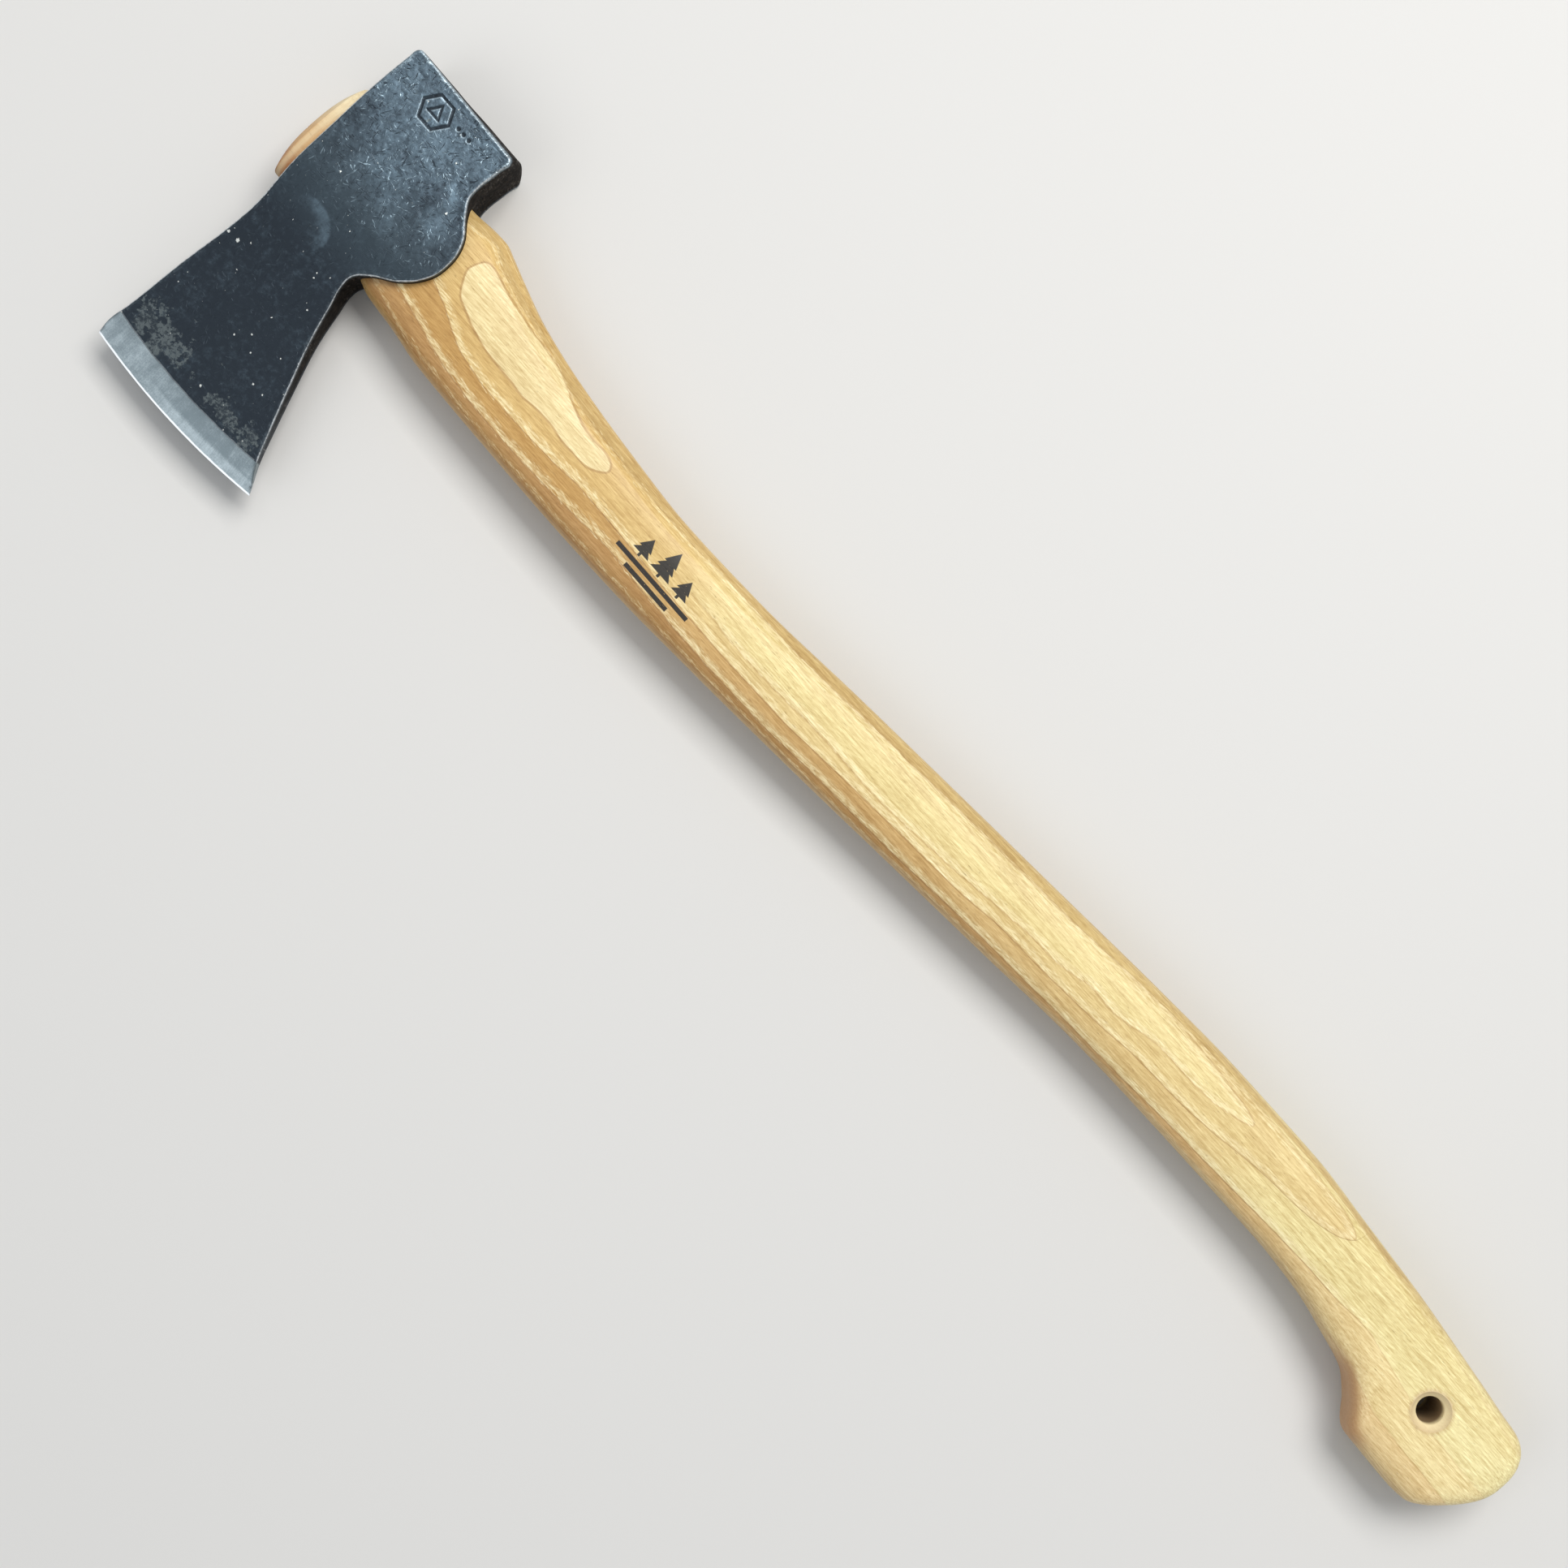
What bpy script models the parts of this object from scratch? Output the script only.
"""A small forest axe, lying on its side.

The frame: the head's cheeks are flat and parallel to the floor, z = 0 is the lower cheek,
and the mid-plane of the axe is halfway through the head. +X runs from the top of the head,
where the handle's end shows, down the handle to its knob. +Y points to the poll and -Y to
the cutting edge. The origin lies under the middle of the eye.

Four pieces: the forged head, the handle, the wooden wedge in the handle's kerf, and the
three-legged steel spike driven across that wedge.
"""

import math

import bmesh
import bpy
import numpy as np

MM = 0.001
GAP = 0.3 * MM  # clearance between pieces that touch

# The head.
HEAD_THICK = 30.0 * MM  # over the cheeks, at the eye and the poll
MID_Z = HEAD_THICK / 2
RIM_ROUND = 1.2 * MM  # rounding of the rims of the cheeks
POLL_Y = 46.0 * MM
POLL_ROUND = 3.4 * MM  # rounding of the poll face's long edges
POLL_BAR = (200.0 * MM, 300.0 * MM)  # length and depth of the bar that gives the poll its shape
EDGE_Y = -109.4 * MM  # the lowest point of the curved cutting edge
EDGE_RADIUS = 290.0 * MM
EDGE_CENTRE_X = 5.0 * MM
EDGE_STEPS = 240  # straight steps round the whole circle that the edge is a part of

# Half the head's thickness against the distance behind the cutting edge: a honed edge, a
# ground bevel, the hollow blade, and the swell up to the flat cheeks, which it passes.
BLADE_TAPER = (
    (0.0, 0.08), (1.2, 0.37), (10.8, 2.65), (21.0, 3.5), (41.0, 5.0),
    (59.0, 6.6), (74.0, 8.9), (84.0, 11.6), (97.0, 15.0), (104.0, 16.5),
)

# The head seen from the side, in millimetres: round the poll, down the top line to the toe,
# past the cutting edge, up the beard to the throat, and round the ear back to the poll.
HEAD_OUTLINE = (
    (-24.4, 40.0), (-24.9, 26.0), (-24.3, 0.0), (-23.8, -20.0), (-23.1, -35.0),
    (-23.9, -48.0), (-26.0, -68.0), (-27.8, -93.0), (-28.9, -102.0), (-28.2, -107.4),
    (-26.5, -116.0), (56.0, -116.0), (51.2, -105.4), (45.2, -96.0), (41.3, -87.9),
    (32.5, -68.0), (26.0, -52.4), (21.7, -38.7), (19.5, -31.0), (19.7, -26.6),
    (23.7, -21.8), (32.9, -15.0), (38.6, -7.2), (40.2, 0.5), (38.0, 10.2),
    (30.6, 18.6), (27.6, 22.6), (26.8, 26.5), (27.2, 36.0), (27.4, 44.6), (26.2, 46.0),
    (2.0, 46.6), (-22.6, 46.0), (-24.0, 44.8),
)
HEAD_CORNERS = (10, 11)  # the two outline points past the cutting edge, which stay sharp
EAR_END_X = 40.2 * MM

# The handle: its back and front edges, in millimetres, as (x, y) from head to knob.
HANDLE_BACK = (
    (-60.0, 22.2), (10.0, 22.2), (28.0, 21.9), (40.0, 23.1), (44.5, 23.2), (50.0, 21.7),
    (58.0, 19.1), (76.0, 14.0), (98.0, 10.3), (128.0, 7.3), (163.0, 5.3), (200.0, 6.5), (250.0, 10.9),
    (300.0, 15.0), (350.0, 18.9), (400.0, 22.8), (440.0, 25.0), (480.0, 25.4),
    (510.0, 23.4), (540.0, 21.0), (580.0, 16.4), (595.0, 14.5),
    (600.0, 14.0), (603.5, 13.0), (606.5, 11.0), (608.8, 7.6), (610.0, 3.5), (610.4, 0.5),
)
HANDLE_FRONT = (
    (-60.0, -22.4), (8.0, -22.4), (19.0, -24.6), (26.0, -26.6), (40.0, -27.8),
    (56.0, -29.8), (84.0, -30.6), (126.0, -31.0), (162.0, -30.4), (200.0, -28.3),
    (250.0, -24.7), (300.0, -20.4), (350.0, -16.1), (395.0, -12.2), (425.0, -11.1),
    (490.0, -10.1), (512.0, -11.3), (530.0, -14.4), (544.0, -17.6), (553.0, -23.7),
    (560.4, -31.0), (562.2, -31.7), (570.0, -32.1), (585.0, -32.5), (592.0, -31.9),
    (597.0, -28.8), (602.0, -23.4), (606.0, -18.0), (608.8, -12.8), (610.0, -8.8), (610.4, -6.0),
)
# Half its thickness and the squareness of its section (2 is an ellipse), along x.
HANDLE_HALF = (
    (-60.0, 11.0), (40.0, 11.0), (120.0, 11.2), (300.0, 11.2), (430.0, 11.8),
    (510.0, 12.2), (560.0, 13.8), (585.0, 14.2), (595.0, 14.1),
)
HANDLE_SQUARE = (
    (-60.0, 2.5), (15.0, 2.5), (50.0, 3.1), (200.0, 3.0), (400.0, 2.6), (520.0, 2.6),
    (545.0, 3.2), (595.0, 3.4),
)
SECTION_POINTS = 32

CROWN_RIM_X = -29.0 * MM  # where the tongue's sides end above the head
CROWN_X = -32.9 * MM  # the top of its low dome
CROWN_FLAT = 0.3  # the share of the dome's width that its flat top takes
CROWN_RINGS = 4
KNOB_SIDE_X = 595.0 * MM  # where the handle's flat sides start to round off into its end
HANDLE_END_X = 610.4 * MM
KNOB_RINGS = 8
KNOB_LAST_TURN = math.radians(84)
KNOB_FACE_POWER = 0.25  # below 1, the knob's sides stay flat almost up to its end

HOLE_X = 572.0 * MM  # the lanyard hole through the knob
HOLE_Y = -4.0 * MM
HOLE_RADIUS = 5.0 * MM
HOLE_RIM_RADIUS = 7.25 * MM
HOLE_SIDES = 32

# The wedge, driven into a kerf that runs along the whole eye.
WEDGE_DEPTH = 38.0 * MM
WEDGE_TOP_HALF = 2.5 * MM
WEDGE_TIP_HALF = 0.4 * MM
WEDGE_END_X = 30.0 * MM  # the tongue is this long where the wedge's own shape is taken from it
KERF_BELOW = 4.0 * MM  # the kerf runs on past the wedge's tip

# The spike: three legs at 120 degrees, filed flush with the crown.
SPIKE_TOP_X = -33.1 * MM  # before it is filed flush with the crown
SPIKE_DEPTH = 18.0 * MM
SPIKE_LEG = 8.0 * MM
SPIKE_HALF = 0.8 * MM
SPIKE_TIP_HALF = 0.35 * MM
SPIKE_TIP_LEG = 5.5 * MM
SLOT_ABOVE = 6.0 * MM  # the spike's slot is cut from this far above its top


def clear_scene():
    for thing in list(bpy.data.objects):
        bpy.data.objects.remove(thing)


def make_collection(name):
    collection = bpy.data.collections.new(name)
    bpy.context.scene.collection.children.link(collection)
    return collection


def make_material(name, colour, roughness, metallic):
    material = bpy.data.materials.new(name)
    material.use_nodes = True
    shader = material.node_tree.nodes["Principled BSDF"]
    shader.inputs["Base Color"].default_value = (*colour, 1.0)
    shader.inputs["Roughness"].default_value = roughness
    shader.inputs["Metallic"].default_value = metallic
    return material


def add_part(name, mesh, collection, material):
    part = bpy.data.objects.new(name, mesh)
    part.data.materials.append(material)
    collection.objects.link(part)
    return part


def add_cutter(name, mesh, collection):
    cutter = bpy.data.objects.new(name, mesh)
    cutter.display_type = "WIRE"
    cutter.hide_render = True
    collection.objects.link(cutter)
    return cutter


def boolean(target, operation, other):
    """One exact Boolean on the target, left live."""
    modifier = target.modifiers.new(operation.lower() + "_" + other.name, "BOOLEAN")
    modifier.operation = operation
    modifier.object = other
    modifier.solver = "EXACT"


def smooth_shade(mesh, angle=30.0):
    mesh.shade_smooth()
    mesh.set_sharp_from_angle(angle=math.radians(angle))


def smooth_through(points, x):
    """A smooth curve through (x, y) points in millimetres that never overshoots them, in metres."""
    xs, ys = np.array(points).T
    steps = np.diff(xs)
    slopes = np.diff(ys) / steps
    tangents = np.zeros(len(xs))
    for i in range(1, len(xs) - 1):
        before, after = slopes[i - 1], slopes[i]
        if before * after > 0:
            tangents[i] = 2 * before * after / (before + after)
    tangents[0], tangents[-1] = slopes[0], slopes[-1]
    at = np.clip(x / MM, xs[0], xs[-1])
    i = int(np.clip(np.searchsorted(xs, at) - 1, 0, len(steps) - 1))
    t = (at - xs[i]) / steps[i]
    lead = (1 + 2 * t) * (1 - t) ** 2 * ys[i] + t * t * (3 - 2 * t) * ys[i + 1]
    bend = t * (1 - t) ** 2 * steps[i] * tangents[i] - t * t * (1 - t) * steps[i] * tangents[i + 1]
    return (lead + bend) * MM


def loft(name, rings):
    """A closed mesh through rings of equally many points, each end capped with one face."""
    shape = bmesh.new()
    loops = [[shape.verts.new(point) for point in ring] for ring in rings]
    count = len(loops[0])
    for low, high in zip(loops, loops[1:]):
        for i in range(count):
            j = (i + 1) % count
            shape.faces.new((low[i], low[j], high[j], high[i]))
    shape.faces.new(loops[0])
    shape.faces.new(loops[-1])
    bmesh.ops.recalc_face_normals(shape, faces=shape.faces)
    mesh = bpy.data.meshes.new(name)
    shape.to_mesh(mesh)
    shape.free()
    return mesh


def handle_section(x, at_x, shrink_y=1.0, shrink_z=1.0, grow=0.0):
    """The handle's section for station at_x, set down at x: an ellipse squared off by an exponent."""
    back = smooth_through(HANDLE_BACK, at_x)
    front = smooth_through(HANDLE_FRONT, at_x)
    half_z = smooth_through(HANDLE_HALF, at_x) * shrink_z + grow
    half_y = (back - front) / 2 * shrink_y + grow
    power = 2 / (smooth_through(HANDLE_SQUARE, at_x) / MM)
    ring = []
    for k in range(SECTION_POINTS):
        angle = 2 * math.pi * k / SECTION_POINTS
        c, s = math.cos(angle), math.sin(angle)
        y = (back + front) / 2 + half_y * math.copysign(abs(c) ** power, c)
        z = MID_Z + half_z * math.copysign(abs(s) ** power, s)
        ring.append((x, y, z))
    return ring


def handle_stations():
    """Where the handle's sections lie between the crown's rim and the knob's round end."""
    runs = (
        (CROWN_RIM_X, 16 * MM, 4), (16 * MM, 60 * MM, 12), (60 * MM, 160 * MM, 8),
        (160 * MM, 490 * MM, 18), (490 * MM, 545 * MM, 6), (545 * MM, 575 * MM, 8),
        (575 * MM, KNOB_SIDE_X, 3),
    )
    for start, end, count in runs:
        for i in range(count):
            yield start + (end - start) * i / count
    yield KNOB_SIDE_X


def handle_rings():
    """The whole handle before it is cut: the crown's dome, the body, and the knob's round end."""
    rings = []
    for i in range(CROWN_RINGS):
        size = CROWN_FLAT + (1 - CROWN_FLAT) * i / CROWN_RINGS
        fall = (size**2 - CROWN_FLAT**2) / (1 - CROWN_FLAT**2)
        x = CROWN_X + (CROWN_RIM_X - CROWN_X) * fall
        rings.append(handle_section(x, CROWN_RIM_X, size, size))
    for x in handle_stations():
        rings.append(handle_section(x, x))
    for i in range(1, KNOB_RINGS + 1):
        turn = KNOB_LAST_TURN * i / KNOB_RINGS
        out = math.sin(turn) / math.sin(KNOB_LAST_TURN)
        x = KNOB_SIDE_X + (HANDLE_END_X - KNOB_SIDE_X) * out
        rings.append(handle_section(x, x, shrink_z=math.cos(turn) ** KNOB_FACE_POWER))
    return rings


def tongue_mesh(name):
    """The uncut handle from its crown to a little past the wedge."""
    return loft(name, [ring for ring in handle_rings() if ring[0][0] < WEDGE_END_X])


def profile_mesh(name, profile):
    """A chain of edges through (radius, z) points in the XZ plane, ready to be turned."""
    shape = bmesh.new()
    points = [shape.verts.new((radius, 0.0, z)) for radius, z in profile]
    for one, other in zip(points, points[1:]):
        shape.edges.new((one, other))
    mesh = bpy.data.meshes.new(name)
    shape.to_mesh(mesh)
    shape.free()
    return mesh


def turned_cutter(name, profile, place, steps, cutters):
    """A cutter turned about the vertical through place, from (radius, z) points, top to bottom."""
    cutter = add_cutter(name, profile_mesh(name, profile), cutters)
    cutter.location = (*place, 0.0)
    turn = cutter.modifiers.new("turn", "SCREW")
    turn.steps = steps
    turn.render_steps = steps
    turn.use_merge_vertices = True
    turn.merge_threshold = 0.0001
    return cutter


def outline_mesh(name):
    """The head's side outline as a flat curve, given its thickness and rounded rims, then welded."""
    curve = bpy.data.curves.new(name, "CURVE")
    curve.dimensions = "2D"
    curve.fill_mode = "BOTH"
    curve.resolution_u = 4
    curve.extrude = HEAD_THICK / 2 - RIM_ROUND
    curve.bevel_depth = RIM_ROUND
    curve.bevel_resolution = 1
    curve.offset = -RIM_ROUND
    spline = curve.splines.new("BEZIER")
    spline.bezier_points.add(len(HEAD_OUTLINE) - 1)
    for i, (point, (x, y)) in enumerate(zip(spline.bezier_points, HEAD_OUTLINE)):
        kind = "VECTOR" if i in HEAD_CORNERS else "AUTO"
        point.handle_left_type = kind
        point.handle_right_type = kind
        point.co = (x * MM, y * MM, 0.0)
    spline.use_cyclic_u = True
    guide = bpy.data.objects.new(name, curve)
    guide.location.z = MID_Z
    bpy.context.scene.collection.objects.link(guide)
    bpy.context.view_layer.update()
    graph = bpy.context.evaluated_depsgraph_get()
    mesh = bpy.data.meshes.new_from_object(guide.evaluated_get(graph))
    mesh.transform(guide.matrix_world)
    shape = bmesh.new()
    shape.from_mesh(mesh)
    bmesh.ops.remove_doubles(shape, verts=shape.verts, dist=0.00001)
    bmesh.ops.recalc_face_normals(shape, faces=shape.faces)
    shape.to_mesh(mesh)
    shape.free()
    bpy.data.objects.remove(guide)
    bpy.data.curves.remove(curve)
    return mesh


def blade_form(cutters):
    """A turned disc whose rim is the cutting edge: it tapers the head from its cheeks to the edge."""
    above = [(EDGE_RADIUS - back * MM, MID_Z + half * MM) for back, half in reversed(BLADE_TAPER)]
    above.insert(0, (0.0, above[0][1]))
    below = [(radius, 2 * MID_Z - z) for radius, z in reversed(above)]
    middle = (EDGE_CENTRE_X, EDGE_Y + EDGE_RADIUS)
    return turned_cutter("blade_form", above + below, middle, EDGE_STEPS, cutters)


def poll_form(cutters):
    """A long bar across the head: it flattens the poll's face and rounds its two long edges."""
    bar = bpy.data.meshes.new("poll_form")
    shape = bmesh.new()
    bmesh.ops.create_cube(shape, size=1.0)
    length, depth = POLL_BAR
    bmesh.ops.scale(shape, vec=(length, depth, HEAD_THICK + 2 * GAP), verts=shape.verts)
    bmesh.ops.translate(shape, vec=(0.0, POLL_Y - depth / 2, MID_Z), verts=shape.verts)
    edges = []
    for edge in shape.edges:
        one, other = (vert.co for vert in edge.verts)
        if min(one.y, other.y) > 0 and abs(one.x - other.x) > length / 2:
            edges.append(edge)
    bmesh.ops.bevel(
        shape, geom=edges, offset=POLL_ROUND, offset_type="OFFSET",
        segments=4, profile=0.5, affect="EDGES",
    )
    shape.to_mesh(bar)
    shape.free()
    return add_cutter("poll_form", bar, cutters)


def eye_form(cutters):
    """The handle's own shape through the head, larger by the gap all round."""
    start = HANDLE_BACK[0][0] * MM
    past_ear = EAR_END_X + 8 * MM
    stations = [start] + [x for x in handle_stations() if x < past_ear]
    rings = [handle_section(x, x, grow=GAP) for x in stations]
    return add_cutter("eye_form", loft("eye_form", rings), cutters)


def wedge_section(x, depth_share, half_y, grow):
    half = WEDGE_TOP_HALF + (WEDGE_TIP_HALF - WEDGE_TOP_HALF) * depth_share + grow
    corners = ((-half_y, -half), (half_y, -half), (half_y, half), (-half_y, half))
    return [(x, y, MID_Z + z) for y, z in corners]


def wedge_prism(name, grow, below):
    """A thin wedge-shaped prism along the whole eye, open past the crown and down to its tip."""
    half_y = 40 * MM
    above = 10 * MM
    tip_x = CROWN_X + WEDGE_DEPTH
    rings = [
        wedge_section(CROWN_X - above, -above / WEDGE_DEPTH, half_y, grow),
        wedge_section(tip_x, 1.0, half_y, grow),
    ]
    if below:
        rings.append(wedge_section(tip_x + below, 1.0, half_y, grow))
    return loft(name, rings)


def spike_section(x, share, grow):
    """A three-legged star in the plane across the handle."""
    half = SPIKE_HALF + (SPIKE_TIP_HALF - SPIKE_HALF) * share + grow
    leg = SPIKE_LEG + (SPIKE_TIP_LEG - SPIKE_LEG) * share + grow
    inner = half / math.tan(math.radians(60))
    ring = []
    for k in range(3):
        turn = 2 * math.pi * k / 3
        for out, side in ((leg, -half), (leg, half), (inner, half)):
            y = out * math.cos(turn) - side * math.sin(turn)
            z = out * math.sin(turn) + side * math.cos(turn)
            ring.append((x, y, MID_Z + z))
    return ring


def spike_mesh(name, grow=0.0, above=0.0):
    reach = grow / SPIKE_DEPTH
    rings = [
        spike_section(SPIKE_TOP_X - above, -above / SPIKE_DEPTH, grow),
        spike_section(SPIKE_TOP_X + SPIKE_DEPTH + grow, 1.0 + reach, grow),
    ]
    return loft(name, rings)


def make_head(parts, cutters, steel):
    mesh = outline_mesh("axe_head")
    smooth_shade(mesh)
    head = add_part("axe_head", mesh, parts, steel)
    boolean(head, "INTERSECT", blade_form(cutters))
    boolean(head, "INTERSECT", poll_form(cutters))
    boolean(head, "DIFFERENCE", eye_form(cutters))


def make_handle(parts, cutters, hickory, spike_slot):
    mesh = loft("handle", handle_rings())
    smooth_shade(mesh)
    handle = add_part("handle", mesh, parts, hickory)
    kerf = add_cutter("kerf", wedge_prism("kerf", GAP, KERF_BELOW), cutters)
    knob_half = smooth_through(HANDLE_HALF, HOLE_X)
    top, low = MID_Z + knob_half, MID_Z - knob_half
    rim = HOLE_RIM_RADIUS - HOLE_RADIUS
    past = 3 * MM
    hole = turned_cutter(
        "lanyard_hole",
        (
            (0.0, top + past), (HOLE_RIM_RADIUS + past, top + past), (HOLE_RADIUS, top - rim),
            (HOLE_RADIUS, low + rim), (HOLE_RIM_RADIUS + past, low - past), (0.0, low - past),
        ),
        (HOLE_X, HOLE_Y),
        HOLE_SIDES,
        cutters,
    )
    boolean(handle, "DIFFERENCE", kerf)
    boolean(handle, "DIFFERENCE", spike_slot)
    boolean(handle, "DIFFERENCE", hole)


def make_wedge(parts, cutters, pale_wood, spike_slot):
    wedge = add_part("eye_wedge", tongue_mesh("eye_wedge"), parts, pale_wood)
    boolean(wedge, "INTERSECT", add_cutter("wedge_form", wedge_prism("wedge_form", 0.0, 0.0), cutters))
    boolean(wedge, "DIFFERENCE", spike_slot)


def make_spike(parts, cutters, bright_steel):
    spike = add_part("wedge_spike", spike_mesh("wedge_spike"), parts, bright_steel)
    boolean(spike, "INTERSECT", add_cutter("filed_flush", tongue_mesh("filed_flush"), cutters))


def build():
    clear_scene()
    parts = make_collection("forest_axe")
    cutters = make_collection("cutters")
    steel = make_material("forged_steel", (0.075, 0.09, 0.105), 0.42, 0.85)
    hickory = make_material("hickory", (0.56, 0.35, 0.14), 0.45, 0.0)
    pale_wood = make_material("wedge_wood", (0.62, 0.45, 0.24), 0.6, 0.0)
    bright_steel = make_material("spike_steel", (0.45, 0.46, 0.47), 0.35, 1.0)
    spike_slot = add_cutter("spike_slot", spike_mesh("spike_slot", GAP, SLOT_ABOVE), cutters)
    make_head(parts, cutters, steel)
    make_handle(parts, cutters, hickory, spike_slot)
    make_wedge(parts, cutters, pale_wood, spike_slot)
    make_spike(parts, cutters, bright_steel)


build()
